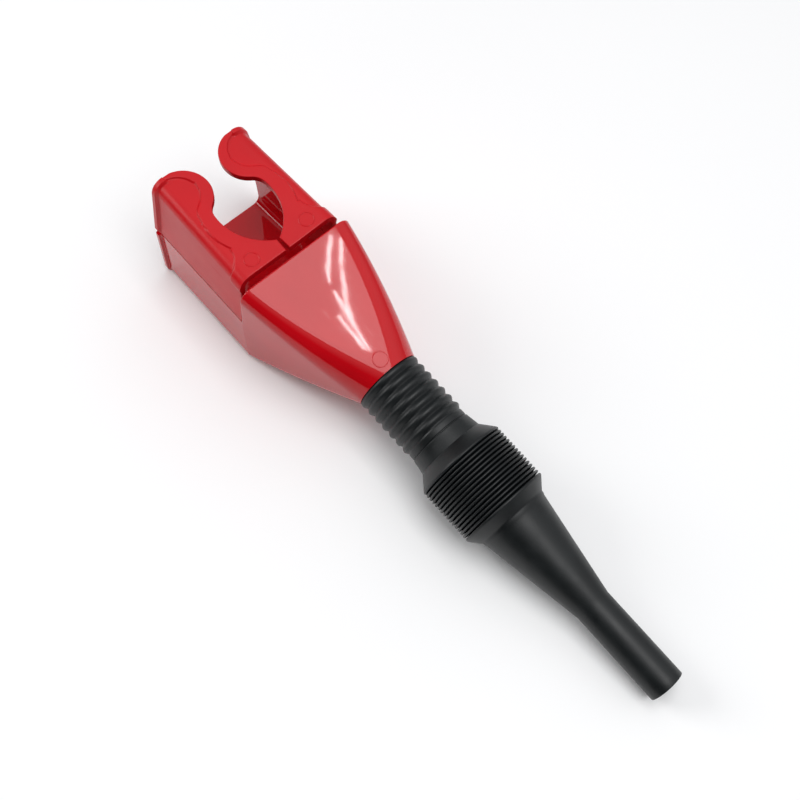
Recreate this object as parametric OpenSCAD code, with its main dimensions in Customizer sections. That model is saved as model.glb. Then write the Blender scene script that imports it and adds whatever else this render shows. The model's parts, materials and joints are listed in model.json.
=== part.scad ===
// Folding clip-on funnel with a flexible, extending nozzle. Millimetres, +Z up.
// Origin: middle of the trough's underside. +X runs from the open mouth to the nozzle tip.

/* [Trough] */
// length of the open trough from the mouth to the seam with the spout
trough_l = 64.5; // [50:0.5:90]
// half width across the underside at the mouth
mouth_half_w = 30.2; // [24:0.1:40]
// how far each side wall spreads towards the seam, in degrees
spread = 1.08; // [0:0.01:3]
// inward draft of the lower side walls, in degrees
wall_draft = 1.7; // [0:0.1:4]
// wall thickness of the red moulding
wall = 2.2; // [1.2:0.1:3]
// thickness of the trough floor
floor_t = 2.0; // [1.2:0.1:3]
// outer radius along the bottom edges
bottom_r = 4.5; // [2:0.1:8]
// height of the fold lines above the ground
fold_z = 34; // [20:0.5:45]
// depth of the relief slit below the rear end of each fold line
slit_depth = 13; // [5:0.5:20]
// width of the relief slit
slit_w = 0.6; // [0.3:0.1:1.5]

/* [Folding wings] */
// height of the jaw plates at the mouth
top_z = 64.2; // [50:0.1:80]
// fall of the jaw plates towards the spout, in degrees
top_fall = 2.77; // [0:0.01:6]
// inward lean of the wings as they rest closed, in degrees
wing_lean = 9.1; // [0:0.1:15]
// slope of each jaw plate down to the middle, in degrees
plate_tilt = 1.3; // [0:0.1:10]
// large outer radius between wing wall and jaw plate
shoulder_r = 5.5; // [3:0.1:9]
// height of the raised band round the jaws
band_h = 0.8; // [0.3:0.1:1.5]
// how far the mouth rim stands out of the side walls
rim_out = 1.0; // [0.4:0.1:1.5]
// width of the mouth rim
rim_w = 2.0; // [1:0.1:4]
// radius of the rounded jaw ends
bulb_r = 13.6; // [8:0.1:18]
// distance of the jaw ends' centre from the middle
bulb_y = 18.5; // [14:0.1:24]
// radius of each clip arc that takes a bottle neck
clip_r = 26; // [18:0.5:32]
// distance of each clip arc's centre past the middle
clip_y = 12; // [0:0.5:20]
// distance of the clip arc centres from the mouth
clip_x = 33.2; // [25:0.1:45]
// half width of the slit between the two jaw plates
jaw_gap = 0.5; // [0.3:0.1:2]

/* [Spout] */
// distance from the mouth to the spout's top front edge
spout_top_x = 66.5; // [60:0.5:80]
// height of the spout's top front edge
spout_top_z = 60.9; // [50:0.1:70]
// half width of the spout across its top
spout_top_w = 30.6; // [24:0.1:40]
// radius along the spout's top edges
spout_r = 6.5; // [3:0.1:10]
// how far the sides swell outwards halfway to the outlet
spout_belly = 1.2; // [0:0.1:3]
// outer radius of the round outlet
outlet_r = 15.7; // [10:0.1:20]
// bore radius of the outlet
outlet_bore_r = 11.6; // [8:0.1:15]

/* [Nozzle] */
// height of the nozzle axis at 125 mm from the mouth
axis_z = 31.2; // [22:0.1:45]
// droop of the nozzle as it lies on its collar and tip, in degrees
droop = 7.4; // [0:0.1:12]
// where the nozzle starts on its axis
nozzle_t0 = 126.9; // [110:0.1:140]
// outer radius of the bellows ridges
ridge_r = 16.15; // [12:0.05:20]
// bellows pitch
ridge_pitch = 4.49; // [3:0.01:6]
// number of bellows ridges
ridge_n = 7; // [3:1:12]
// depth of the bellows valleys
ridge_depth = 1.9; // [1:0.1:4]
// wall thickness of the black moulding
skin = 1.0; // [0.6:0.1:2]
// outer radius of the plain tube
tube_r = 16.35; // [12:0.05:20]
// where the collar starts
collar_t0 = 168.2; // [160:0.1:180]
// first collar pleat
pleat_t0 = 174.8; // [165:0.1:190]
// outer radius of the collar
pleat_r = 21.5; // [17:0.1:26]
// pitch of the closed pleats
pleat_pitch = 1.787; // [1.2:0.001:3]
// number of pleats
pleat_n = 16; // [6:1:24]
// inner fold radius of the pleats
pleat_in_r = 17.4; // [14:0.1:20]
// where the cone starts
cone_t0 = 207.3; // [195:0.1:220]
// outer radius of the cone's large end
cone_r = 16.95; // [12:0.05:20]
// where the straight tip starts
tip_t0 = 256.6; // [240:0.1:280]
// where the tip ends
tip_t1 = 300.6; // [270:0.1:360]
// outer radius of the tip
tip_r = 8.4; // [5:0.1:12]

/* [Hidden] */
$fn = 96;
big = 200;
mouth_x = -trough_l / 2;
fold_half_w = mouth_half_w - fold_z * tan(wall_draft);
web_h = 1.0;
rim_clear = 1.6;
seam_half_w = mouth_half_w + trough_l * tan(spread);
lift = top_z - fold_z;
wing_yaw = spread + asin(sin(top_fall) * tan(wing_lean));
field_r = clip_r + 8;
field_bulb_r = 7.3;
field_end_x = 54;
wing_rear_low = 63.9;
wing_rear_top = 62.3;
neck_l = 3.6;
spout_steps = 5;
pleat_t1 = pleat_t0 + (pleat_n - 1) * pleat_pitch;
ridge_rr = 1.2;
relief = 0.02;

function bulb_x() = bulb_r - 0.3;
// where the jaw end's circle meets the clip arc, found by halving
function meet(a, b, n) = n == 0 ? (a + b) / 2 :
    let (m = (a + b) / 2,
         inner = -bulb_y + sqrt(pow(bulb_r, 2) - pow(m - bulb_x(), 2)),
         arc = clip_y - sqrt(pow(clip_r, 2) - pow(m - clip_x, 2)))
    inner > arc ? meet(m, b, n - 1) : meet(a, m, n - 1);
neck_x = meet(bulb_x() + 4, bulb_x() + bulb_r - 0.1, 24);

module from_mouth() {
    translate([mouth_x, 0, 0]) children();
}

// extrudes a y-z outline along +X
module along_x(l) {
    rotate([90, 0, 90]) linear_extrude(height = l) children();
}

module keep_x(a, b) {
    intersection() {
        children();
        translate([a, -big / 2, -big / 2]) cube([b - a, big, big]);
    }
}

module keep_z(a, b) {
    intersection() {
        children();
        translate([-big, -big, a]) cube([2 * big, 2 * big, b - a]);
    }
}

// ---- trough ----

// left half of the trough in outline, grown outwards by g
module trough_outline(g, inner) {
    off = inner ? wall : -g;
    low = inner ? floor_t : 0;
    r = inner ? 3.2 : bottom_r + g;
    d = wall_draft;
    cz = low + r;
    cy = off / cos(d) - mouth_half_w + cz * tan(d) + r / cos(d);
    rise = fold_z + 10;
    union() {
        translate([cy, cz]) circle(r);
        polygon([[cy, low], [12, low], [12, rise],
                 [cy - r * cos(d) + (rise - cz - r * sin(d)) * tan(d), rise],
                 [cy - r * cos(d), cz + r * sin(d)]]);
    }
}

module trough_half() {
    difference() {
        union() {
            rotate([0, 0, -spread]) translate([-5, 0, 0]) along_x(trough_l + 10)
                trough_outline(0, false);
            keep_z(0, fold_z - rim_clear) keep_x(-5, rim_w)
                rotate([0, 0, -spread]) translate([-5, 0, 0]) along_x(20)
                    trough_outline(rim_out, false);
        }
        rotate([0, 0, -spread]) translate([-6, 0, 0]) along_x(trough_l + 12)
            trough_outline(0, true);
        translate([-big / 2, -big, fold_z - web_h / 2]) cube([big, 2 * big, big]);
        translate([-big / 2, 3, -1]) cube([big, big, big]);
    }
}

module trough() {
    color("#c4202b") from_mouth() difference() {
        keep_x(0, trough_l) union() {
            trough_half();
            mirror([0, 1, 0]) trough_half();
        }
        for (s = [-1, 1]) translate([trough_l - slit_w, s * mouth_half_w - 10, fold_z - slit_depth])
            cube([5, 20, 40]);
    }
}

// ---- wings ----

// outline of the left wing's shell, from the fold line up and over to the middle, grown by g
module wing_outline(g) {
    a = wing_lean;
    t = plate_tilt;
    r = shoulder_r + g;
    cz = lift - shoulder_r;
    cy = shoulder_r / cos(a) + cz * tan(a);
    over = 40;
    top = cz + r * cos(t);
    union() {
        translate([cy, cz]) circle(g < 0 ? r + relief : r);
        polygon([[cy - r * cos(a) - (cz + r * sin(a) + 12) * tan(a), -12],
                 [cy - r * cos(a), cz + r * sin(a)],
                 [cy + r * sin(t), top],
                 [over, top - (over - cy - r * sin(t)) * tan(t)],
                 [over, -12]]);
    }
}

module wing_frame() {
    translate([0, -fold_half_w, fold_z])
        rotate([0, 0, -wing_yaw]) rotate([0, top_fall, 0]) translate([-6, 0, 0]) children();
}

module wing_shell(g, depth) {
    wing_frame() along_x(trough_l + 12) difference() {
        wing_outline(g);
        wing_outline(-depth);
    }
}

module wing_rear_cut() {
    a = atan((wing_rear_low - wing_rear_top) / (top_z - fold_z));
    translate([wing_rear_low, 0, fold_z]) rotate([0, -a, 0]) translate([0, -big / 2, -big / 2])
        cube([big, big, big]);
}

// plan of the left jaw plate
module jaw_plan() {
    difference() {
        union() {
            translate([bulb_x(), -bulb_y]) circle(bulb_r);
            translate([0, -45]) square([neck_x, 45 - bulb_y]);
            polygon([[neck_x, -45], [trough_l + 5, -45], [trough_l + 5, -jaw_gap - 0.8],
                     [clip_x + 15, -jaw_gap], [neck_x, -jaw_gap]]);
        }
        intersection() {
            translate([clip_x, clip_y]) circle(clip_r);
            translate([neck_x, -45]) square([60, 90]);
        }
    }
}

// plan of the low field that the raised band runs round
module field_plan() {
    difference() {
        union() {
            translate([bulb_x(), -bulb_y]) circle(field_bulb_r);
            translate([bulb_x() - field_bulb_r, -60]) square([field_end_x - bulb_x() + field_bulb_r, 60 - bulb_y]);
        }
        translate([clip_x, clip_y]) circle(field_r);
    }
}

// plan line where the jaw plate starts, inside the shoulder
module jaw_side(grow) {
    w = fold_half_w - lift * tan(wing_lean) - shoulder_r;
    rotate([0, 0, -wing_yaw]) translate([-20, -w - grow]) square([120, 60]);
}

module left_wing_solid() {
    union() {
        difference() {
            keep_z(fold_z + web_h / 2, top_z + 5) keep_x(0, trough_l) wing_shell(0, wall);
            wing_rear_cut();
            translate([0, 0, fold_z]) linear_extrude(height = 60) jaw_side(0);
        }
        difference() {
            keep_z(fold_z + rim_clear, top_z + 5) keep_x(0, rim_w) wing_shell(rim_out, wall / 2);
            translate([0, 0, fold_z]) linear_extrude(height = 60) jaw_side(0);
        }
    }
}

module left_jaw_solid() {
    intersection() {
        union() {
            wing_shell(0, wall);
            difference() {
                wing_shell(band_h, wall);
                translate([0, 0, fold_z]) linear_extrude(height = 60) field_plan();
            }
        }
        translate([0, 0, fold_z + 10]) linear_extrude(height = 60) intersection() {
            jaw_plan();
            jaw_side(0);
        }
        difference() {
            translate([-5, -big / 2, 0]) cube([big, big, big]);
            wing_rear_cut();
        }
    }
}

module left_wing() {
    color("#c4202b") from_mouth() left_wing_solid();
}

module right_wing() {
    color("#c4202b") from_mouth() mirror([0, 1, 0]) left_wing_solid();
}

module left_jaw() {
    color("#cf2530") from_mouth() left_jaw_solid();
}

module right_jaw() {
    color("#cf2530") from_mouth() mirror([0, 1, 0]) left_jaw_solid();
}

// thin web that joins wing and trough along the fold line
module fold_web() {
    translate([0, -fold_half_w, 0]) rotate([0, 0, -spread])
        translate([rim_w, 0.15, fold_z - web_h / 2]) cube([wing_rear_low - rim_w - 0.4, 0.55, web_h]);
}

module left_fold() {
    color("#a81822") from_mouth() fold_web();
}

module right_fold() {
    color("#a81822") from_mouth() mirror([0, 1, 0]) fold_web();
}

// ---- spout ----

module on_axis(t) {
    translate([125 + (t - 125) * cos(droop), 0, axis_z - (t - 125) * sin(droop)])
        rotate([0, 90 + droop, 0]) children();
}

module rod(x, y, z, r) {
    translate([x, y, z]) rotate([0, 90, 0]) cylinder(h = 0.02, r = r, $fn = 40);
}

function mix(a, b, f) = a + (b - a) * f;

// cross-section of the spout at share f of the way to the outlet, shrunk by g, as four thin discs
module spout_section(f, g) {
    x = mix(trough_l, 125, f);
    swell = spout_belly * 4 * f * (1 - f);
    low_r = mix(bottom_r, outlet_r, f);
    top_r = mix(spout_r, outlet_r, f);
    low = mix(0, axis_z - outlet_r, f);
    top = mix(spout_top_z + 0.55, axis_z + outlet_r, f);
    for (s = [-1, 1]) {
        rod(x, s * (mix(seam_half_w, outlet_r, f) + swell - low_r), low + low_r, low_r - g);
        rod(x, s * (mix(spout_top_w, outlet_r, f) + swell - top_r), top - top_r, top_r - g);
    }
}

module spout() {
    lean = atan((spout_top_x - trough_l) / (spout_top_z - fold_z));
    color("#c4202b") from_mouth() difference() {
        hull() {
            for (i = [0:spout_steps - 1]) spout_section(i / spout_steps, 0);
            on_axis(nozzle_t0 - 0.02) cylinder(h = 0.02, r = outlet_r, $fn = 64);
        }
        hull() {
            translate([-0.1, 0, 0]) spout_section(0, wall);
            for (i = [1:spout_steps - 1]) spout_section(i / spout_steps, wall);
            on_axis(nozzle_t0) cylinder(h = 0.02, r = outlet_bore_r, $fn = 64);
        }
        translate([trough_l, 0, fold_z]) rotate([0, lean, 0]) translate([-big, -big / 2, 0])
            cube([big, big, big]);
    }
}

// ---- nozzle ----

module turned(t) {
    on_axis(t) rotate_extrude() children();
}

module outlet_neck() {
    color("#b21c26") from_mouth() turned(nozzle_t0) difference() {
        union() {
            translate([outlet_bore_r, 0]) square([13.4 - outlet_bore_r, neck_l]);
            translate([13.3, 2.1]) circle(0.6);
        }
        translate([0, -1]) square([outlet_bore_r, neck_l + 2]);
    }
}

// one rounded bellows ridge in section, centred on height h
module ridge(h) {
    translate([ridge_r - ridge_rr, h]) circle(ridge_rr);
    translate([ridge_r - ridge_depth - 0.4, h - ridge_rr]) square([ridge_depth + 0.4 - ridge_rr, 2 * ridge_rr]);
}

module ridge_hollow(h) {
    in_r = ridge_rr - skin * 0.55;
    translate([ridge_r - ridge_rr, h]) circle(in_r);
    translate([0, h - in_r]) square([ridge_r - ridge_rr, 2 * in_r]);
}

// a length of bellows: ridges a to b, from height h0 to height h1 on the axis
module bellows(a, b, h0, h1) {
    valley = ridge_r - ridge_depth;
    turned(nozzle_t0) difference() {
        union() {
            translate([valley - skin, h0]) square([skin, h1 - h0]);
            for (i = [a:b]) ridge(1.5 + i * ridge_pitch);
        }
        for (i = [a:b]) ridge_hollow(1.5 + i * ridge_pitch);
    }
}

function between(i) = 1.5 + (i - 0.5) * ridge_pitch;

module nozzle_cuff() {
    color("#1c1f20") from_mouth() turned(nozzle_t0) difference() {
        union() {
            translate([13.4, 0]) square([ridge_r - ridge_depth - 13.4, between(1)]);
            ridge(1.5);
        }
        translate([0, 1.1]) square([14.0, 2.0]);
    }
}

module bellows_rear() {
    color("#1c1f20") from_mouth() bellows(1, 2, between(1), between(3));
}

module bellows_ring() {
    color("#1c1f20") from_mouth() bellows(3, 3, between(3), between(4));
}

module bellows_front() {
    color("#1c1f20") from_mouth() bellows(4, 5, between(4), between(6));
}

module tube() {
    last = nozzle_t0 + 1.5 + (ridge_n - 1) * ridge_pitch;
    valley = ridge_r - ridge_depth;
    color("#1c1f20") from_mouth() turned(0) difference() {
        union() {
            translate([valley - skin, nozzle_t0 + between(6)]) square([skin, 3]);
            translate([0, last - nozzle_t0 + nozzle_t0]) translate([ridge_r - ridge_rr, 0]) circle(ridge_rr);
            translate([valley - 0.4, last - ridge_rr]) square([ridge_depth + 0.4 - ridge_rr, 2 * ridge_rr]);
            polygon([[valley - skin, last + 0.5], [valley, last + 0.5], [valley, last + 1.6],
                     [tube_r, last + 3.4], [tube_r, collar_t0], [tube_r - skin, collar_t0],
                     [tube_r - skin, last + 3.6], [valley - skin, last + 2.1]]);
        }
        translate([valley - 5, last - 0.7]) square([5, 1.4]);
        translate([0, last - 40]) square([valley - skin, 80]);
    }
}

module collar_rear() {
    h = pleat_t0 - collar_t0;
    color("#1c1f20") from_mouth() turned(collar_t0) polygon([
        [tube_r, 0], [pleat_r - 0.7, h - 1.6], [pleat_r, h - 0.9], [pleat_r, h],
        [pleat_r - 0.8, h + 0.5], [pleat_r - skin - 0.6, h + 0.5], [pleat_r - skin - 0.9, h - 1.2],
        [tube_r - skin, 0.9], [tube_r - skin, 0]]);
}

// outer or inner line of the folded pleats: a zigzag between the two fold radii
function zig(n, out_r, in_r) = [for (i = [0:2 * n]) [i % 2 == 0 ? in_r : out_r, i * pleat_pitch / 2]];
function back(v) = [for (i = [len(v) - 1:-1:0]) v[i]];

module pleats() {
    n = pleat_n - 2;
    outer = zig(n, pleat_r, pleat_in_r + 0.7);
    inner = zig(n, pleat_r - 0.75, pleat_in_r);
    color("#1c1f20") from_mouth() turned(pleat_t0 + pleat_pitch / 2)
        polygon(concat(outer, back(inner)));
}

module collar_front() {
    h = cone_t0 - pleat_t1;
    color("#1c1f20") from_mouth() turned(pleat_t1) polygon([
        [pleat_r - skin - 0.6, -0.5], [pleat_r - 0.8, -0.5], [pleat_r, 0], [pleat_r, 0.7],
        [pleat_r - 0.7, 1.4], [cone_r, h], [cone_r - skin, h], [cone_r - skin, h - 0.8],
        [pleat_r - skin - 0.9, 1.0]]);
}

module cone() {
    h = tip_t0 - cone_t0;
    color("#1c1f20") from_mouth() turned(cone_t0) polygon([
        [cone_r, 0], [cone_r - 0.1, 1.5], [tip_r, h], [tip_r - skin, h], [cone_r - skin - 0.1, 1.5],
        [cone_r - skin, 0]]);
}

module tip() {
    h = tip_t1 - tip_t0;
    color("#1c1f20") from_mouth() turned(tip_t0) polygon([
        [tip_r, 0], [tip_r, h - 0.3], [tip_r - 0.3, h], [tip_r - skin, h], [tip_r - skin, 0]]);
}

trough();
spout();
outlet_neck();
left_wing();
left_jaw();
right_wing();
right_jaw();
left_fold();
right_fold();
nozzle_cuff();
bellows_rear();
bellows_ring();
bellows_front();
tube();
collar_rear();
pleats();
collar_front();
cone();
tip();
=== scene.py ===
import json
import math

import bmesh
import bpy
import numpy as np
from mathutils import Matrix, Vector


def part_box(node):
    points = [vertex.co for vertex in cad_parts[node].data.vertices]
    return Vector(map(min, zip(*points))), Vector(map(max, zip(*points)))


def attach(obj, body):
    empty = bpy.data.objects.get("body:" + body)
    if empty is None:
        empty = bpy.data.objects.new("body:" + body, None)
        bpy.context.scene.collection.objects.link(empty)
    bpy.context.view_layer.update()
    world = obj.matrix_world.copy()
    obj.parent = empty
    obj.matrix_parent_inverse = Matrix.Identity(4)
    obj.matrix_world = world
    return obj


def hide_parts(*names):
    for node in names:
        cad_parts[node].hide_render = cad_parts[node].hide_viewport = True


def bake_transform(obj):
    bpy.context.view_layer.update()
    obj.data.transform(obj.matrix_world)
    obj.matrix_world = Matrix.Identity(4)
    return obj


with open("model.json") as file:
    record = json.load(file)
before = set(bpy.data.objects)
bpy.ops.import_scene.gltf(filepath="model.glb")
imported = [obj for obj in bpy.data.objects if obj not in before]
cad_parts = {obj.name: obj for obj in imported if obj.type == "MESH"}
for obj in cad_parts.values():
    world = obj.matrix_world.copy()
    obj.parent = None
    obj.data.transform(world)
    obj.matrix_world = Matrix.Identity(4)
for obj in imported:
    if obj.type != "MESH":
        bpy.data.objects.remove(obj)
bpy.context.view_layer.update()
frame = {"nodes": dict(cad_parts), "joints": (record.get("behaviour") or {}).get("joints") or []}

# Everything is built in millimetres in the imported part's frame and scaled to metres when a mesh is made.
MM = 0.001
joints = {j["name"]: j for j in frame["joints"]}


def mm_box(node):
    """Lowest and highest corner of a CAD node, in millimetres."""
    low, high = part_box(node)
    return np.array(low) / MM, np.array(high) / MM


def smooth(t):
    """0 below 0, 1 above 1 and a soft step between them."""
    t = np.clip(t, 0, 1)
    return t * t * (3 - 2 * t)


def mix(a, b, t):
    return a + (b - a) * t


# ---- mesh helpers ----

CREASE = math.radians(32)


def make_object(name, verts, faces, material, crease=CREASE):
    """A smooth-shaded mesh object, with every edge sharper than crease kept as a hard line."""
    mesh = bpy.data.meshes.new(name)
    places = [tuple(v) for v in np.asarray(verts) * MM]
    mesh.from_pydata(places, [], [tuple(int(i) for i in f) for f in faces])
    bm = bmesh.new()
    bm.from_mesh(mesh)
    bmesh.ops.remove_doubles(bm, verts=bm.verts, dist=1e-7)
    bmesh.ops.recalc_face_normals(bm, faces=bm.faces)
    for edge in bm.edges:
        edge.smooth = edge.calc_face_angle(0) < crease
    for face in bm.faces:
        face.smooth = True
    bm.to_mesh(mesh)
    bm.free()
    mesh.materials.append(material)
    piece = bpy.data.objects.new(name, mesh)
    bpy.context.scene.collection.objects.link(piece)
    return piece


def grid_faces(rows, cols, start=0, wrap=False):
    """Quads of a rows by cols grid of vertices, joined round the columns if wrap."""
    last = cols if wrap else cols - 1
    faces = []
    for i in range(rows - 1):
        for j in range(last):
            k = (j + 1) % cols
            a = start + i * cols
            faces.append((a + j, a + k, a + cols + k, a + cols + j))
    return faces


def shell(name, outer, inner, material, wrap=False):
    """A wall between two grids of the same size, closed along their rims."""
    rows, cols, _ = outer.shape
    n = rows * cols
    verts = np.concatenate([outer.reshape(-1, 3), inner.reshape(-1, 3)])
    faces = grid_faces(rows, cols, 0, wrap) + grid_faces(rows, cols, n, wrap)
    last = cols if wrap else cols - 1
    for i in (0, rows - 1):
        for j in range(last):
            a, b = i * cols + j, i * cols + (j + 1) % cols
            faces.append((a, b, n + b, n + a))
    if not wrap:
        for j in (0, cols - 1):
            for i in range(rows - 1):
                a, b = i * cols + j, (i + 1) * cols + j
                faces.append((a, b, n + b, n + a))
    return make_object(name, verts, faces, material)


def arc(centre, r, a0, a1, n):
    """Points on a circle from angle a0 to a1, in degrees."""
    angles = np.radians(np.linspace(a0, a1, n))
    return [(centre[0] + r * math.cos(a), centre[1] + r * math.sin(a)) for a in angles]


# ---- materials ----


class Nodes:
    """Short calls for building one material's node tree."""

    def __init__(self, name):
        self.material = bpy.data.materials.new(name)
        self.material.use_nodes = True
        self.tree = self.material.node_tree
        self.shader = self.tree.nodes["Principled BSDF"]
        self.coords = self.add("ShaderNodeTexCoord").outputs["Object"]

    def add(self, kind, **values):
        node = self.tree.nodes.new(kind)
        for key, value in values.items():
            setattr(node, key, value)
        return node

    def link(self, a, b):
        self.tree.links.new(a, b)

    def noise(self, scale, detail=3.0, rough=0.5, stretch=None):
        node = self.add("ShaderNodeTexNoise")
        node.inputs["Scale"].default_value = scale
        node.inputs["Detail"].default_value = detail
        node.inputs["Roughness"].default_value = rough
        source = self.coords
        if stretch:
            mapping = self.add("ShaderNodeMapping")
            mapping.inputs["Scale"].default_value = stretch
            self.link(source, mapping.inputs["Vector"])
            source = mapping.outputs["Vector"]
        self.link(source, node.inputs["Vector"])
        return node.outputs["Fac"]

    def ramp(self, source, low, high, from_low=0.3, from_high=0.7):
        node = self.add("ShaderNodeMapRange")
        node.inputs["From Min"].default_value = from_low
        node.inputs["From Max"].default_value = from_high
        node.inputs["To Min"].default_value = low
        node.inputs["To Max"].default_value = high
        self.link(source, node.inputs["Value"])
        return node.outputs["Result"]

    def blend_colour(self, factor, first, second):
        node = self.add("ShaderNodeMix", data_type="RGBA")
        node.inputs["A"].default_value = (*first, 1)
        if isinstance(second, tuple):
            node.inputs["B"].default_value = (*second, 1)
        else:
            self.link(second, node.inputs["B"])
        self.link(factor, node.inputs["Factor"])
        return node.outputs["Result"]

    def maths(self, operation, a, b):
        node = self.add("ShaderNodeMath", operation=operation)
        for socket, value in zip(node.inputs, (a, b)):
            if isinstance(value, (int, float)):
                socket.default_value = value
            else:
                self.link(value, socket)
        return node.outputs["Value"]

    def bump(self, height, distance, strength=1.0, normal=None):
        node = self.add("ShaderNodeBump")
        node.inputs["Strength"].default_value = strength
        node.inputs["Distance"].default_value = distance
        self.link(height, node.inputs["Height"])
        if normal is not None:
            self.link(normal, node.inputs["Normal"])
        return node.outputs["Normal"]


def red_plastic(name, colour, shade, rough_low, rough_high, grain, ripple, ior=1.44):
    """Glossy injection-moulded polypropylene: flow shading, sink ripples, fine grain, hairline scratches."""
    n = Nodes(name)
    flow = n.ramp(n.noise(38, 2.0, 0.5, (0.5, 1.0, 1.0)), 0.0, 1.0)
    n.link(n.blend_colour(flow, colour, shade), n.shader.inputs["Base Color"])
    scratches = n.noise(260, 2.0, 0.6, (0.12, 1.6, 1.0))
    hairs = n.ramp(scratches, 0.0, 0.09, 0.66, 0.74)
    haze = n.ramp(n.noise(55, 4.0, 0.6), rough_low, rough_high)
    n.link(n.maths("ADD", haze, hairs), n.shader.inputs["Roughness"])
    sink = n.bump(n.noise(95, 1.5, 0.45, (0.35, 1.0, 0.6)), ripple, 1.0)
    fine = n.bump(n.noise(2600, 2.0, 0.6), grain, 1.0, sink)
    n.link(n.bump(scratches, grain * 1.5, 0.6, fine), n.shader.inputs["Normal"])
    n.shader.inputs["IOR"].default_value = ior
    return n.material


def black_plastic(name):
    """Satin blow-moulded polyethylene: near black with a cold cast, cloudy gloss, fine grain and dust."""
    n = Nodes(name)
    cloud = n.ramp(n.noise(60, 4.0, 0.6), 0.0, 1.0)
    base = n.blend_colour(cloud, (0.0030, 0.0042, 0.0046), (0.0060, 0.0080, 0.0088))
    dust = n.ramp(n.noise(900, 3.0, 0.7), 0.0, 0.35, 0.68, 0.80)
    mixed = n.add("ShaderNodeMix", data_type="RGBA")
    mixed.inputs["B"].default_value = (0.022, 0.026, 0.026, 1)
    n.link(base, mixed.inputs["A"])
    n.link(dust, mixed.inputs["Factor"])
    n.link(mixed.outputs["Result"], n.shader.inputs["Base Color"])
    n.link(n.ramp(n.noise(120, 3.0, 0.5), 0.38, 0.48), n.shader.inputs["Roughness"])
    grain = n.bump(n.noise(1900, 3.0, 0.6), 0.00003, 1.0)
    n.link(n.bump(n.noise(140, 2.0, 0.5), 0.00004, 0.8, grain), n.shader.inputs["Normal"])
    n.shader.inputs["IOR"].default_value = 1.44
    return n.material


RED = red_plastic("red_gloss", (0.540, 0.0030, 0.0080), (0.460, 0.0022, 0.0062),
                  rough_low=0.020, rough_high=0.045, grain=0.0000003, ripple=0.000018)
RED_JAWS = red_plastic("red_semi_gloss", (0.560, 0.0040, 0.0090), (0.500, 0.0034, 0.0078),
                       rough_low=0.28, rough_high=0.38, grain=0.00003, ripple=0.00006, ior=1.38)
RED_FOLD = red_plastic("red_web", (0.400, 0.0035, 0.0070), (0.340, 0.0025, 0.0060),
                       rough_low=0.24, rough_high=0.38, grain=0.00003, ripple=0.00005)
BLACK = black_plastic("black_satin")

# ---- trough ----

trough_low, trough_high = mm_box("trough")
MOUTH_X = trough_low[0]
SEAM_X = trough_high[0]
LENGTH = SEAM_X - MOUTH_X
FOLD_Z = joints["left_wing_fold"]["pos_m"][2] / MM
SPREAD = math.asin(-joints["left_wing_fold"]["axis"][1])
WALL = 2.2
FLOOR = 2.0
BOTTOM_R = 4.5
INNER_R = 4.4
DRAFT = math.radians(1.7)
SEAM_HALF_W = trough_high[1]
MOUTH_HALF_W = SEAM_HALF_W - LENGTH * math.tan(SPREAD)
FOLD_HALF_W = MOUTH_HALF_W - FOLD_Z * math.tan(DRAFT)
RIM_OUT = 1.25
RIM_W = 2.8
RIM_FROM_Y, RIM_RUN_IN = 20.0, 8.0
MOUTH_R = 0.6
SIDE_NORMAL = 0.05
EDGE_R = 0.45
WEB_H = 1.0
# the relief slit behind each wing, wider on the inside
SLIT_DEPTH = 13.0
SLIT_W = 0.8
SLIT_UNDERCUT = 2.0


def spaced(length, fine, coarse, ends):
    """Stations from 0 to length, fine within ends of both ends and coarse between them."""
    near = list(np.arange(0, ends, fine))
    middle = list(np.linspace(ends, length - ends, max(2, round((length - 2 * ends) / coarse))))
    far = [length - x for x in reversed(near)]
    return np.array(near + middle + far)


def edge_drop(d, r=EDGE_R):
    """How far a surface falls at distance d from an edge rounded to radius r."""
    d = np.clip(d, 0, r)
    return r - np.sqrt(np.maximum(r * r - (r - d) ** 2, 0))


def rim_height(x, z):
    """Height of the lip round the mouth at distance x from it, notched at the fold for the wing's swing."""
    notch = max(0.0, abs(z - FOLD_Z) - 0.5)
    return min(RIM_OUT * (1 - float(smooth((x - RIM_W + 0.5) / 1.0))), notch)


def trough_profile(off, radius, low, top):
    """Half outline of the trough in y-z from the middle of the floor up its side, with the outward normals.
    off is how far inside the outer wall it runs."""
    centre_z = low + radius
    centre_y = MOUTH_HALF_W - centre_z * math.tan(DRAFT) - (off + radius) / math.cos(DRAFT)
    points = [(y, low, 0.0, -1.0) for y in np.linspace(0, centre_y, 30)[:-1]]
    for a in np.radians(np.linspace(-90, math.degrees(DRAFT), 10)):
        c, s = math.cos(a), math.sin(a)
        points.append((centre_y + radius * c, centre_z + radius * s, c, s))
    start = points[-1]
    steps = np.concatenate([np.linspace(0, 1, 26)[1:-1], [0.985, 1.0]])
    for t in steps:
        z = mix(start[1], top, t)
        points.append((start[0] - (z - start[1]) * math.tan(DRAFT), z, math.cos(DRAFT), math.sin(DRAFT)))
    return np.array(points)


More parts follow.
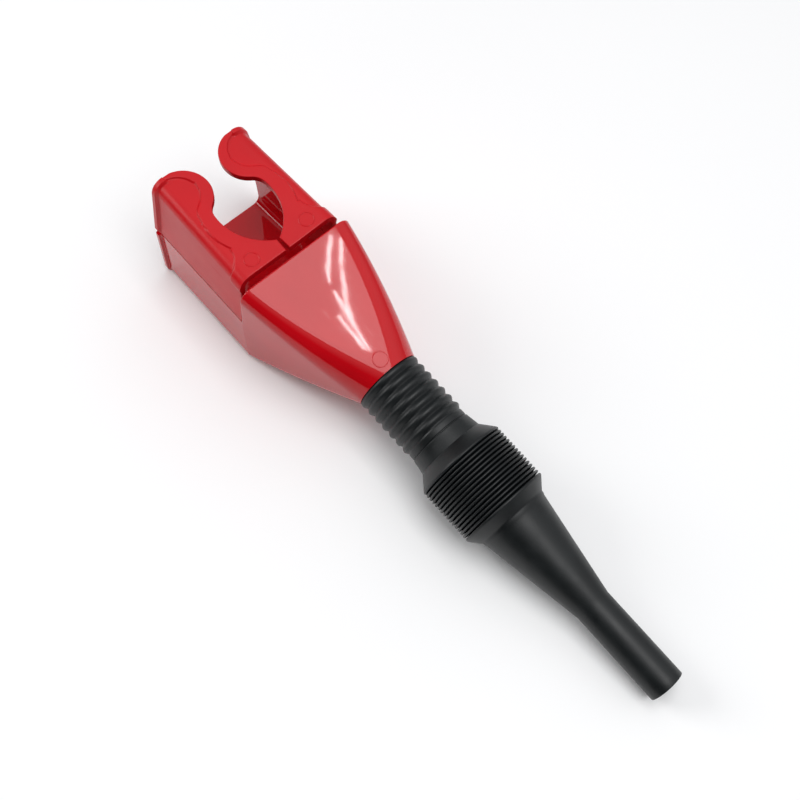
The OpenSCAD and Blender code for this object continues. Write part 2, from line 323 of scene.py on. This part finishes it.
def trough_grid(inner):
    """Half profile swept from the mouth to the seam, its sides ending at the relief slit below the fold."""
    top = FOLD_Z - WEB_H / 2
    half = trough_profile(WALL, INNER_R, FLOOR, top) if inner else trough_profile(0, BOTTOM_R, 0, top)
    cut = SLIT_W + (SLIT_UNDERCUT if inner else 0)
    grid = []
    for share in spaced(LENGTH, 0.12, 1.2, 3.6) / LENGTH:
        row = []
        for y, z, ny, nz in half:
            x = share * (LENGTH - cut if z > FOLD_Z - SLIT_DEPTH else LENGTH)
            on_side = ny > SIDE_NORMAL
            grow = 0.0 if inner else -float(edge_drop(x, MOUTH_R))
            if on_side and not inner:
                grow += rim_height(x, z) * float(smooth((y - RIM_FROM_Y) / RIM_RUN_IN))
            up = grow * nz if on_side else 0.0
            flare = 1 + x * math.tan(SPREAD) / MOUTH_HALF_W
            row.append((MOUTH_X + x, y * flare + ny * grow, max(z + up, 0.0)))
        left = [(px, -py, pz) for px, py, pz in reversed(row[1:])]
        grid.append(left + row)
    return np.array(grid)


def build_trough():
    piece = shell("trough_shell", trough_grid(False), trough_grid(True), RED)
    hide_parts("trough")
    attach(piece, "body")


build_trough()

# ---- wings and jaws ----

LEAN = math.radians(9.1)
TILT = math.radians(1.3)
FALL = math.radians(2.77)
YAW = SPREAD + math.asin(math.sin(FALL) * math.tan(LEAN))
SHOULDER_R = 5.5
TOP_Z = 64.2
LIFT = TOP_Z - FOLD_Z
BAND_H = 0.8
BULB_X, BULB_Y, BULB_R = 13.3, 18.5, 13.6
CLIP_X, CLIP_Y, CLIP_R = 33.2, 12.0, 26.0
JAW_GAP = 0.5
SLIT_X = CLIP_X + 15
NECK_R = 8.0
REAR_LOW, REAR_TOP = 63.9, 62.3
# the low field inside the raised band: a lobe near the mouth, one near the spout, and a ring about the clip
LOBE_X, LOBE_Y, LOBE_R = 12.0, 20.5, 10.2
END_X, END_Y, END_R = 47.0, 28.3, 9.0
FIELD_R = 33.4
MARK_X, MARK_Y, MARK_R = 56.7, 15.3, 3.4
BEAD_R, BEAD_SUNK = 0.36, 0.18
BEAD_TURNS, BEAD_SIDES = 72, 10

CENTRE_Q = LIFT - SHOULDER_R
CENTRE_P = SHOULDER_R / math.cos(LEAN) + CENTRE_Q * math.tan(LEAN)
TANGENT_P = CENTRE_P - SHOULDER_R * math.cos(LEAN)
TANGENT_Q = CENTRE_Q + SHOULDER_R * math.sin(LEAN)


def circles_meet(c0, r0, c1, r1):
    """Where two circles cross, to the right of the way from the first centre to the second."""
    apart = math.dist(c0, c1)
    ux, uy = (c1[0] - c0[0]) / apart, (c1[1] - c0[1]) / apart
    along = (r0 ** 2 - r1 ** 2 + apart ** 2) / (2 * apart)
    aside = math.sqrt(r0 ** 2 - along ** 2)
    return c0[0] + along * ux + aside * uy, c0[1] + along * uy - aside * ux


# the hollow fillet that touches the bulb and the clip arc, and the x at which it starts and ends
NECK_X, NECK_Y = circles_meet((BULB_X, -BULB_Y), BULB_R + NECK_R, (CLIP_X, CLIP_Y), CLIP_R - NECK_R)
NECK_A = mix(BULB_X, NECK_X, BULB_R / (BULB_R + NECK_R))
NECK_B = mix(CLIP_X, NECK_X, CLIP_R / (CLIP_R - NECK_R))


def wing_to_frame(xl, p, q):
    """From the left wing's own axes to x from the mouth, y and z."""
    along = xl * math.cos(FALL) + q * math.sin(FALL)
    up = -xl * math.sin(FALL) + q * math.cos(FALL)
    return (along * math.cos(YAW) + p * math.sin(YAW),
            -along * math.sin(YAW) + p * math.cos(YAW) - FOLD_HALF_W,
            up + FOLD_Z)


def local_x(x, p, q):
    """The wing's own x at which (p, q) lies at distance x from the mouth."""
    return ((x - p * math.sin(YAW)) / math.cos(YAW) - q * math.sin(FALL)) / math.cos(FALL)


def slit_y(x):
    """The jaw's straight inner edge behind the clip opening."""
    return -JAW_GAP - np.maximum(0.0, x - SLIT_X) * 0.8 / (LENGTH + 5 - SLIT_X)


def edge_y(x):
    """The jaw's inner edge in y, for the left jaw, at distance x from the mouth."""
    if x < NECK_A:
        return -BULB_Y + math.sqrt(max(BULB_R ** 2 - (x - BULB_X) ** 2, 0))
    if x < NECK_B:
        return NECK_Y - math.sqrt(NECK_R ** 2 - (x - NECK_X) ** 2)
    clip_left = CLIP_R ** 2 - (x - CLIP_X) ** 2
    clip = CLIP_Y - math.sqrt(clip_left) if clip_left > 0 else 99.0
    return min(clip, float(slit_y(x)))


def edge_distance(x, y, z):
    """Distance in plan from (x, y) to the edge of the left jaw, inside it."""
    rear = (REAR_LOW - (REAR_LOW - REAR_TOP) * (z - FOLD_Z) / LIFT) - x
    bulb = BULB_R - math.hypot(x - BULB_X, y + BULB_Y)
    neck = math.hypot(x - NECK_X, y - NECK_Y) - NECK_R
    clip = min(math.hypot(x - CLIP_X, y - CLIP_Y) - CLIP_R, float(slit_y(x)) - y)
    if x > NECK_B:
        side = clip
    elif x > NECK_A:
        side = neck
    else:
        side = bulb if y > -BULB_Y or x > BULB_X else x
    return max(min(side, rear), 0.0)


def soft_max(a, b, k):
    """The larger of a and b, with the corner between them filled over a width k."""
    h = max(k - abs(a - b), 0.0) / k
    return max(a, b) + h * h * k / 4


def field_depth(x, y):
    """Distance inside the low field's border, negative on the raised band."""
    lobe = LOBE_R - math.hypot(x - LOBE_X, y + LOBE_Y)
    end = END_R - math.hypot(x - END_X, y + END_Y)
    middle = min(x - LOBE_X, END_X - x)
    outer = min(x - (LOBE_X - LOBE_R), END_X + END_R - x, -max(LOBE_Y, END_Y) - y)
    front = min(x - (LOBE_X - LOBE_R), END_X - x, -LOBE_Y - y)
    ring = math.hypot(x - CLIP_X, y - CLIP_Y) - mix(FIELD_R - 1.2, FIELD_R, float(smooth((x - 26) / 14)))
    rest = min(max(end, middle, outer, front), ring)
    return soft_max(lobe, rest, 3.0)


def wing_outline(columns):
    """Shares along the wing's outline: wall, shoulder, plate."""
    wall_n, arc_n, plate_n = columns
    wall = [("wall", t) for t in np.concatenate([[0, 0.006, 0.015], np.linspace(0.03, 1, wall_n)[:-1]])]
    shoulder = [("arc", t) for t in np.linspace(0, 1, arc_n)[:-1]]
    plate = [("plate", t) for t in np.linspace(0, 1, plate_n)]
    near = [1 - s for s in (0.02, 0.012, 0.006, 0.002)]
    plate = sorted(set(plate + [("plate", t) for t in near]), key=lambda item: item[1])
    return wall + shoulder + plate


def wing_point(kind, t, x, grow):
    """A point of the left wing's shell at distance x from the mouth, grown outwards by grow."""
    r = SHOULDER_R
    if kind == "wall":
        low = (WEB_H / 2 + local_x(x, 0, 0) * math.sin(FALL)) / math.cos(FALL)
        q = mix(low, TANGENT_Q, t)
        p = TANGENT_P - (TANGENT_Q - q) * math.tan(LEAN)
        n = (-math.cos(LEAN), math.sin(LEAN))
    elif kind == "arc":
        a = mix(math.pi - LEAN, math.pi / 2 - TILT, t)
        n = (math.cos(a), math.sin(a))
        p, q = CENTRE_P + r * n[0], CENTRE_Q + r * n[1]
    else:
        n = (math.sin(TILT), math.cos(TILT))
        p0, q0 = CENTRE_P + r * n[0], CENTRE_Q + r * n[1]
        xl = local_x(x, p0, q0)
        y0 = wing_to_frame(xl, p0, q0)[1]
        far = (edge_y(min(max(x, 0.0), LENGTH)) - y0) / math.cos(TILT) / math.cos(YAW)
        p, q = p0 + far * t * math.cos(TILT), q0 - far * t * math.sin(TILT)
    xl = local_x(x, p + grow * n[0], q + grow * n[1])
    return wing_to_frame(xl, p + grow * n[0], q + grow * n[1])


def wing_columns():
    """Where the wing's columns of vertices lie, as shares of its length, finest at both edges."""
    near = [0, 0.03, 0.08, 0.15, 0.24, 0.36, 0.5, 0.68, 0.9, 1.15, 1.4, 1.65, 1.9, 2.15, 2.4, 2.7]
    end = REAR_LOW
    middle = list(np.linspace(3.0, end - 1.2, 150))
    rear = [end - s for s in (0.9, 0.65, 0.45, 0.3, 0.18, 0.1, 0.04, 0)]
    return np.array(near + middle + rear) / end


def wing_grids():
    outline = wing_outline((34, 16, 56))
    outer, inner = [], []
    for share in wing_columns():
        out_row, in_row = [], []
        for kind, t in outline:
            x = share * REAR_LOW
            for _ in range(3):
                z = wing_point(kind, t, x, 0)[2]
                x = share * (REAR_LOW - (REAR_LOW - REAR_TOP) * max(z - FOLD_Z, 0) / LIFT)
            px, py, pz = wing_point(kind, t, x, 0)
            lip = rim_height(px, pz)
            if kind == "wall":
                rear = REAR_LOW - (REAR_LOW - REAR_TOP) * (pz - FOLD_Z) / LIFT - px
                band = BAND_H * float(smooth((px - END_X - END_R + 0.35) / 0.7) * smooth((t - 0.90) / 0.08))
            else:
                rear = edge_distance(px, py, pz) if kind == "plate" else REAR_LOW - px
                band = BAND_H * (1 - float(smooth((field_depth(px, py) + 0.35) / 0.7)))
            if kind == "plate":
                lip *= 1 - float(smooth(t / 0.15))
            drop = float(edge_drop(max(min(px, rear), 0)))
            grow = max(lip, band) - drop
            if kind == "wall" and t < 0.02:
                grow -= float(edge_drop(t / 0.02 * 0.2, 0.2))
            out_row.append(wing_point(kind, t, x, grow))
            in_row.append(wing_point(kind, t, x, -WALL))
        outer.append(out_row)
        inner.append(in_row)
    return np.array(outer), np.array(inner)


def plate_point(x, y, sign):
    """The point on the left jaw's raised band above (x, y), mirrored for the right jaw."""
    a = wing_point("plate", 0.0, x, BAND_H)
    b = wing_point("plate", 1.0, x, BAND_H)
    px, py, pz = wing_point("plate", (y - a[1]) / (b[1] - a[1]), x, BAND_H)
    return np.array([px + MOUTH_X, py * sign, pz])


def ring_piece(name, surface, x0, y0, material, sunk=BEAD_SUNK):
    """A moulded ring: a fine rounded bead lying on a surface given by a function of x and y."""
    verts = []
    for a in np.linspace(0, 2 * math.pi, BEAD_TURNS, endpoint=False):
        out = np.array([math.cos(a), math.sin(a)])
        for b in np.linspace(0, 2 * math.pi, BEAD_SIDES, endpoint=False):
            r = MARK_R + BEAD_R * math.cos(b)
            point = surface(x0 + r * out[0], y0 + r * out[1])
            verts.append(point + np.array([0, 0, BEAD_R * math.sin(b) - sunk]))
    faces = []
    for i in range(BEAD_TURNS):
        a, b = i * BEAD_SIDES, (i + 1) % BEAD_TURNS * BEAD_SIDES
        for j in range(BEAD_SIDES):
            k = (j + 1) % BEAD_SIDES
            faces.append((a + j, b + j, b + k, a + k))
    return make_object(name, verts, faces, material)


def build_flap(side):
    sign = 1 if side == "left" else -1
    outer, inner = wing_grids()
    for grid in (outer, inner):
        grid[..., 0] += MOUTH_X
        grid[..., 1] *= sign
    piece = shell(f"{side}_flap_shell", outer, inner, RED_JAWS)
    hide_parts(f"{side}_wing", f"{side}_jaw")
    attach(piece, f"{side}_flap")
    mark = ring_piece(f"{side}_flap_mark", lambda x, y: plate_point(x, y, sign), MARK_X, -MARK_Y, RED_JAWS)
    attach(mark, f"{side}_flap")


build_flap("left")
build_flap("right")


def build_fold(side):
    """The living hinge: a thin curved web in a shallow groove."""
    sign = 1 if side == "left" else -1
    half = WEB_H / 2 + 0.12
    outer, inner = [], []
    for x in np.linspace(0.3, REAR_LOW - 0.4, 60):
        out_row, in_row = [], []
        for s in np.linspace(-1, 1, 13):
            z = s * half
            face = FOLD_HALF_W + x * math.tan(SPREAD) - (z * math.tan(LEAN) if z > 0 else z * math.tan(DRAFT))
            dip = 0.06 + 0.14 * (1 - s * s)
            out_row.append((MOUTH_X + x, -sign * (face - dip), FOLD_Z + z))
            in_row.append((MOUTH_X + x, -sign * (face - 0.72), FOLD_Z + z))
        outer.append(out_row)
        inner.append(in_row)
    piece = shell(f"{side}_fold_web", np.array(outer), np.array(inner), RED_FOLD)
    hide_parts(f"{side}_fold")
    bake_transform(piece)


build_fold("left")
build_fold("right")

# ---- nozzle axis ----

AXIS = np.array(joints["nozzle_extend"]["axis"])
AXIS /= np.linalg.norm(AXIS)
AXIS_POINT = np.array(joints["nozzle_bend_up"]["pos_m"]) / MM
SIDE = np.array([0.0, 1.0, 0.0])
UP = np.cross(AXIS, SIDE) * -1


def span(node):
    """Where a node starts and ends along the nozzle axis, and its outer radius."""
    points = np.array([v.co for v in frame["nodes"][node].data.vertices]) / MM - AXIS_POINT
    along = points @ AXIS
    radial = np.linalg.norm(points - along[:, None] * AXIS, axis=1)
    return along.min(), along.max(), radial.max()


def lathe(name, profile, material, segments=128):
    """Turns a closed outline of (radius, station) points round the nozzle axis."""
    turns = np.linspace(0, 2 * math.pi, segments, endpoint=False)
    rings = []
    for a in turns:
        out = math.cos(a) * UP + math.sin(a) * SIDE
        ring = []
        for r, t in profile:
            ring.append(AXIS_POINT + t * AXIS + r * out)
        rings.append(ring)
    grid = np.array(rings)
    cols = len(profile)
    faces = []
    for i in range(segments):
        k = (i + 1) % segments
        for j in range(cols):
            m = (j + 1) % cols
            faces.append((i * cols + j, k * cols + j, k * cols + m, i * cols + m))
    return make_object(name, grid.reshape(-1, 3), faces, material, math.radians(38))


# ---- spout ----

OUTLET_T = span("nozzle_cuff")[0]
OUTLET_R = 15.7
SPOUT_TOP_Z = 60.9
SPOUT_TOP_X = 66.5
SPOUT_TOP_W = 30.6
SPOUT_R = 6.5
SEAM_STEP = 0.55
CORNER_EASE = 1.6
LEAST_R = 0.5
BELLY = 1.2
LIP_R = 0.8
SPOUT_COUNT = (12, 14, 22, 18, 16)
SPOUT_MARK_X, SPOUT_MARK_Y = 123.2, -1.2


def rounded_section(half_low, half_top, low, top, r_low, r_top, count):
    """A closed outline in y-z with round corners, starting from the middle of the floor."""
    half = []
    half += [(y, low) for y in np.linspace(0, half_low - r_low, count[0])[:-1]]
    side_angle = math.atan2(half_low - half_top, top - low)
    a1 = math.degrees(side_angle)
    half += arc((half_low - r_low, low + r_low), r_low, -90, a1, count[1])
    end = arc((half_top - r_top, top - r_top), r_top, a1, 90, count[3])
    (y0, z0), (y1, z1) = half[-1], end[0]
    half += [(mix(y0, y1, t), mix(z0, z1, t)) for t in np.linspace(0, 1, count[2])[1:-1]]
    half += end
    half += [(mix(half_top - r_top, 0, t), top) for t in np.linspace(0, 1, count[4])[1:]]
    other = [(-y, z) for y, z in reversed(half[1:-1])]
    return np.array(half + other)


def spout_level(f):
    """Lowest and highest z, and the top corner's radius, at share f of the way from seam to outlet."""
    outlet_z = AXIS_POINT[2] + OUTLET_T * AXIS[2]
    low = mix(0, outlet_z - OUTLET_R, f)
    top = mix(SPOUT_TOP_Z + SEAM_STEP, outlet_z + OUTLET_R, f)
    return low, top, mix(SPOUT_R, OUTLET_R, f ** CORNER_EASE)


def spout_row(f, g):
    """One cross-section of the spout, g inside the outer one."""
    swell = BELLY * 4 * f * (1 - f)
    low_r = mix(BOTTOM_R, OUTLET_R, f)
    low, top, top_r = spout_level(f)
    low_w = mix(SEAM_HALF_W, OUTLET_R, f) + swell - g
    top_w = mix(SPOUT_TOP_W, OUTLET_R, f) + swell - g
    radii = max(low_r - g, LEAST_R), max(top_r - g, LEAST_R)
    return rounded_section(low_w, top_w, low + g, top - g, *radii, SPOUT_COUNT)


def spout_grid(g):
    """The spout's surface: rounded box at the seam with a soft upper lip, circle at the outlet."""
    outlet = AXIS_POINT + OUTLET_T * AXIS
    near = [0, 0.0012, 0.0025, 0.0045, 0.007, 0.010, 0.014, 0.020]
    rows = []
    for f in near + list(np.linspace(0.03, 0.97, 44)) + [0.985, 0.993, 1.0]:
        lip = float(edge_drop(f * 60, LIP_R)) if g == 0 else 0.0
        plain, soft = spout_row(f, g), spout_row(f, g + lip)
        row = []
        for (y0, z0), (y1, z1) in zip(plain, soft):
            share = float(smooth((z0 - FOLD_Z) / 6))
            y, z = mix(y0, y1, share), mix(z0, z1, share)
            front = SEAM_X + (SPOUT_TOP_X - LENGTH) * max(0.0, (z0 - FOLD_Z) / (SPOUT_TOP_Z - FOLD_Z))
            back = outlet[0] + (outlet[2] - z) * AXIS[2] / AXIS[0]
            row.append((mix(front, back, f), y, z))
        rows.append(row)
    return np.array(rows)


def spout_top(x, y):
    """The point on the spout's top above (x, y), x measured from the mouth."""
    outlet = AXIS_POINT + OUTLET_T * AXIS
    start = SPOUT_TOP_X + MOUTH_X
    f = 0.5
    for _ in range(6):
        top = spout_level(f)[1]
        back = outlet[0] + (outlet[2] - top) * AXIS[2] / AXIS[0]
        f = (x + MOUTH_X - start) / (back - start)
    _, top, top_r = spout_level(f)
    flat = mix(SPOUT_TOP_W, OUTLET_R, f) + BELLY * 4 * f * (1 - f) - top_r
    over = max(abs(y) - flat, 0.0)
    return np.array([x + MOUTH_X, y, top - top_r + math.sqrt(top_r ** 2 - over ** 2)])


def build_spout():
    outer = spout_grid(0.0)
    inner = spout_grid(WALL)
    piece = shell("spout_shell", outer, inner, RED, wrap=True)
    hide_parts("spout")
    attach(piece, "body")
    mark = ring_piece("spout_mark", spout_top, SPOUT_MARK_X, SPOUT_MARK_Y, RED, 0.27)
    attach(mark, "body")
    neck = frame["nodes"]["outlet_neck"]
    neck.data.materials.clear()
    neck.data.materials.append(RED)


build_spout()

# ---- bellows ----

RIDGE_R = span("bellows_ring")[2]
PITCH = span("bellows_ring")[1] - span("bellows_ring")[0]
RIDGE_H = 1.2
VALLEY_R = RIDGE_R - 0.25 - RIDGE_H
SKIN = 1.0
FIRST = span("bellows_ring")[0] + PITCH / 2 - 3 * PITCH


def ridge_line(first, last, steps=14):
    """The bellows' outer line from the valley before ridge first to the valley after ridge last."""
    points = []
    for i in range(first, last + 1):
        for k in range(steps):
            u = k / steps
            crest = 0.5 - 0.5 * math.cos(2 * math.pi * u)
            points.append((VALLEY_R + RIDGE_H * crest ** 0.7, FIRST + (i - 0.5 + u) * PITCH))
    points.append((VALLEY_R, FIRST + (last + 0.5) * PITCH))
    return points


def bellows_piece(name, first, last, start=None, end=None):
    line = ridge_line(first, last)
    if start is not None:
        line = [(r, t) for r, t in line if t > start + 0.05]
        line = [(RIDGE_R - 1.5, start), (RIDGE_R - 0.7, start + 0.12)] + line
    inside = [(r - SKIN, t) for r, t in reversed(line)]
    return lathe(name, line + inside, BLACK)


def build_bellows():
    cuff = bellows_piece("bellows_cuff", 0, 0, start=OUTLET_T)
    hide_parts("nozzle_cuff")
    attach(cuff, "body")
    rear = bellows_piece("bellows_rear_skin", 1, 2)
    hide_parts("bellows_rear")
    middle = bellows_piece("bellows_middle", 3, 3)
    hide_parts("bellows_ring")
    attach(middle, "bellows_mid")
    front = bellows_piece("bellows_front_skin", 4, 5)
    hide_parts("bellows_front")

    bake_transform(rear)
    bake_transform(front)


build_bellows()

# ---- tube, collar, cone and tip ----

TUBE_R = 16.35
COLLAR_T0 = span("collar_rear")[0]
PLEAT_T0, PLEAT_T1, PLEAT_R = span("pleats")
CONE_T0, TIP_T0, CONE_R = span("cone")
TIP_T1, TIP_R = span("tip")[1:]
PLEAT_IN = 17.4
PLEATS = 14
# one pleat: share of its pitch and share of its height, a narrow groove and a broad round crest
PLEAT_SHAPE = ((0.0, 0.0), (0.09, 0.62), (0.17, 0.82), (0.27, 0.93), (0.38, 0.985), (0.5, 1.0),
               (0.62, 0.985), (0.73, 0.93), (0.83, 0.82), (0.91, 0.62))


def build_tube():
    """The last ridge, a narrow band, a fine step and the wider band that runs up to the collar."""
    last = FIRST + 6 * PITCH
    line = ridge_line(6, 6)
    line += [(r, last + t) for r, t in (
        (VALLEY_R + 0.02, 2.45), (VALLEY_R + 0.25, 2.75), (VALLEY_R + 0.34, 3.2), (VALLEY_R + 0.36, 5.2),
        (VALLEY_R + 0.30, 5.5), (VALLEY_R + 0.05, 5.75), (VALLEY_R + 0.05, 5.95), (VALLEY_R + 0.55, 6.2),
        (VALLEY_R + 0.66, 6.6))]
    line += [(mix(VALLEY_R + 0.68, TUBE_R, u), mix(last + 7, COLLAR_T0, u)) for u in (0, 0.3, 0.6, 1)]
    inside = [(r - SKIN, t) for r, t in reversed(line)]
    piece = lathe("tube_shell", line + inside, BLACK)
    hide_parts("tube")
    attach(piece, "nozzle")


def build_collar_rear():
    h = PLEAT_T0 - COLLAR_T0
    line = [(TUBE_R, 0), (TUBE_R + 0.3, 0.25), (PLEAT_R - 1.0, h - 2.4), (PLEAT_R - 0.5, h - 1.8),
            (PLEAT_R - 0.1, h - 1.2), (PLEAT_R, h - 0.9), (PLEAT_R - 0.1, h - 0.6), (PLEAT_R - 0.5, h - 0.25),
            (PLEAT_IN + 0.7, h)]
    line = [(r, COLLAR_T0 + t) for r, t in line]
    inside = [(r - SKIN, t) for r, t in reversed(line[:-1])]
    inside = [(PLEAT_IN - 0.1, PLEAT_T0)] + inside
    piece = lathe("collar_rear_shell", line + inside, BLACK)
    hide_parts("collar_rear")
    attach(piece, "nozzle")


def build_pleats():
    pitch = (PLEAT_T1 - PLEAT_T0) / PLEATS
    outer, inner = [], []
    for i in range(PLEATS):
        base = PLEAT_T0 + i * pitch
        outer += [(mix(PLEAT_IN + 0.7, PLEAT_R, v), base + u * pitch) for u, v in PLEAT_SHAPE]
        inner += [(mix(PLEAT_IN, PLEAT_R - 0.75, v), base + u * pitch) for u, v in PLEAT_SHAPE]
    outer.append((PLEAT_IN + 0.7, PLEAT_T1))
    inner.append((PLEAT_IN, PLEAT_T1))
    piece = lathe("pleats_skin", outer + inner[::-1], BLACK, 144)
    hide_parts("pleats")
    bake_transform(piece)


def build_end():
    line = [(PLEAT_IN + 0.7, PLEAT_T1), (PLEAT_R - 0.5, PLEAT_T1 + 0.25), (PLEAT_R - 0.1, PLEAT_T1 + 0.6),
            (PLEAT_R, PLEAT_T1 + 0.9), (PLEAT_R - 0.1, PLEAT_T1 + 1.3), (PLEAT_R - 0.5, PLEAT_T1 + 1.8)]
    line += [(mix(PLEAT_R - 0.5, CONE_R, t), mix(PLEAT_T1 + 1.8, CONE_T0, t)) for t in (0.3, 0.6, 0.9, 1.0)]
    line += [(CONE_R - 0.1, CONE_T0 + 0.5), (CONE_R - 0.15, CONE_T0 + 1.2)]
    length = TIP_T0 - CONE_T0
    for t in np.linspace(0.04, 1, 26):
        line.append((mix(CONE_R - 0.2, TIP_R, t), CONE_T0 + length * t))
    line += [(TIP_R, t) for t in np.linspace(TIP_T0 + 2, TIP_T1 - 0.35, 14)]
    line += [(TIP_R - 0.1, TIP_T1 - 0.1), (TIP_R - 0.35, TIP_T1)]
    inside = [(max(r - SKIN, 3), t) for r, t in reversed(line[1:-2])]
    piece = lathe("nozzle_end_shell", line + [(TIP_R - SKIN + 0.25, TIP_T1)] + inside, BLACK)
    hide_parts("collar_front", "cone", "tip")
    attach(piece, "nozzle_end")


build_tube()
build_collar_rear()
build_pleats()
build_end()

# ---- stage, light and camera ----


def build_floor():
    n = Nodes("paper")
    tone = n.ramp(n.noise(3.0, 2.0, 0.4), 0.0, 1.0)
    n.link(n.blend_colour(tone, (0.91, 0.91, 0.91), (0.93, 0.93, 0.93)), n.shader.inputs["Base Color"])
    n.shader.inputs["Roughness"].default_value = 0.75
    n.link(n.bump(n.noise(700, 3.0, 0.6), 0.00004, 0.5), n.shader.inputs["Normal"])
    mesh = bpy.data.meshes.new("floor")
    size = 3.0
    corners = [(-size, -size, 0), (size, -size, 0), (size, size, 0), (-size, size, 0)]
    mesh.from_pydata(corners, [], [(0, 1, 2, 3)])
    mesh.materials.append(n.material)
    floor = bpy.data.objects.new("floor", mesh)
    bpy.context.scene.collection.objects.link(floor)
    floor.location = (0, 0, -0.0001)


def area_light(name, x, y, z, width, depth, radiance, turn=0.0):
    """A level rectangular lamp facing down, turned about the vertical. Returns its object."""
    light = bpy.data.lights.new(name, "AREA")
    light.shape = "RECTANGLE"
    light.size, light.size_y = width, depth
    light.energy = math.pi * width * depth * radiance
    lamp = bpy.data.objects.new(name, light)
    bpy.context.scene.collection.objects.link(lamp)
    lamp.location = (x, y, z)
    lamp.rotation_euler = (0, 0, turn)
    return lamp


def strip_light(name, start, end, width, radiance):
    """A narrow level lamp from start to end."""
    run = math.dist(start, end)
    turn = math.atan2(end[1] - start[1], end[0] - start[0])
    x, y = (start[0] + end[0]) / 2, (start[1] + end[1]) / 2
    area_light(name, x, y, STRIP_Z, run, width, radiance, turn)


def bent_tube(name, first, last, shift, lean, bend):
    """A thin tube lamp from x first to x last that curves away from the point where the tubes meet.
    The spout's top mirrors it as a bright streak."""
    pieces = TUBE_PIECES if bend else 1
    ends = []
    for x in np.linspace(first, last, pieces + 1):
        back = MEET_X - x
        ends.append((x, MEET_Y + shift + lean * back + bend * back ** 2))
    for i in range(pieces):
        strip_light(f"{name}_{i}", ends[i], ends[i + 1], STRIP_W, STRIP_RADIANCE)


SKY_SIDE = (0.10, 0.45, 0.887)
SKY_DARK = (0.02, 0.02, 0.022)
SKY_BRIGHT = (0.92, 0.93, 0.95)
STRIP_Z = 1.2
STRIP_W = 0.005
STRIP_RADIANCE = 30.0
TUBE_PIECES = 5
MEET_X, MEET_Y = 0.200, 0.350


def build_light():
    """A room bright above and behind and dark in front, with a softbox, a fill lamp and thin tubes."""
    world = bpy.data.worlds.new("room")
    world.use_nodes = True
    tree = world.node_tree
    background = tree.nodes["Background"]
    coords = tree.nodes.new("ShaderNodeTexCoord")
    towards = tree.nodes.new("ShaderNodeVectorMath")
    towards.operation = "DOT_PRODUCT"
    towards.inputs[1].default_value = SKY_SIDE
    ramp = tree.nodes.new("ShaderNodeValToRGB")
    ramp.color_ramp.elements[0].position = 0.33
    ramp.color_ramp.elements[0].color = (*SKY_DARK, 1)
    ramp.color_ramp.elements[1].position = 0.92
    ramp.color_ramp.elements[1].color = (*SKY_BRIGHT, 1)
    tree.links.new(coords.outputs["Generated"], towards.inputs[0])
    tree.links.new(towards.outputs["Value"], ramp.inputs["Fac"])
    tree.links.new(ramp.outputs["Color"], background.inputs["Color"])
    background.inputs["Strength"].default_value = 1.0
    bpy.context.scene.world = world
    area_light("softbox", 0.50, 0.11, 1.30, 1.40, 0.70, 3.1)
    fill = area_light("fill", -1.05, -0.75, 0.85, 0.80, 0.80, 5.0)
    fill.rotation_euler = fill.location.to_track_quat("Z", "Y").to_euler()
    bent_tube("tube_long", 0.042, 0.197, shift=0.002, lean=0.07, bend=2.4)
    bent_tube("tube_side", 0.029, 0.089, shift=-0.006, lean=-0.20, bend=3.5)
    bent_tube("tube_branch", 0.104, 0.219, shift=0.003, lean=0.095, bend=0.0)
    bent_tube("tube_inner", 0.140, 0.211, shift=-0.0055, lean=0.0, bend=0.0)


CAMERA_AZIMUTH = math.radians(44.69)
CAMERA_ELEVATION = math.radians(66.34)
CAMERA_ROLL = math.radians(3.28)
CAMERA_DISTANCE = 475.76
CAMERA_TARGET = (134.15, 1.04, 20.0)
CAMERA_LENS = 47.97


def build_camera():
    data = bpy.data.cameras.new("camera")
    data.sensor_width = 36
    data.lens = CAMERA_LENS
    data.clip_start, data.clip_end = 0.01, 20
    camera = bpy.data.objects.new("camera", data)
    bpy.context.scene.collection.objects.link(camera)
    back = Vector((math.sin(CAMERA_AZIMUTH) * math.cos(CAMERA_ELEVATION),
                   -math.cos(CAMERA_AZIMUTH) * math.cos(CAMERA_ELEVATION), math.sin(CAMERA_ELEVATION)))
    right = (-back).cross(Vector((0, 0, 1))).normalized()
    up = right.cross(-back)
    c, s = math.cos(CAMERA_ROLL), math.sin(CAMERA_ROLL)
    right, up = c * right + s * up, c * up - s * right
    target = Vector((CAMERA_TARGET[0] + MOUTH_X, CAMERA_TARGET[1], CAMERA_TARGET[2]))
    place = (target + CAMERA_DISTANCE * back) * MM
    matrix = Matrix((right, up, back)).transposed().to_4x4()
    matrix.translation = place
    camera.matrix_world = matrix
    bpy.context.scene.camera = camera


build_floor()
build_light()
build_camera()
bpy.context.scene.view_settings.view_transform = "Standard"
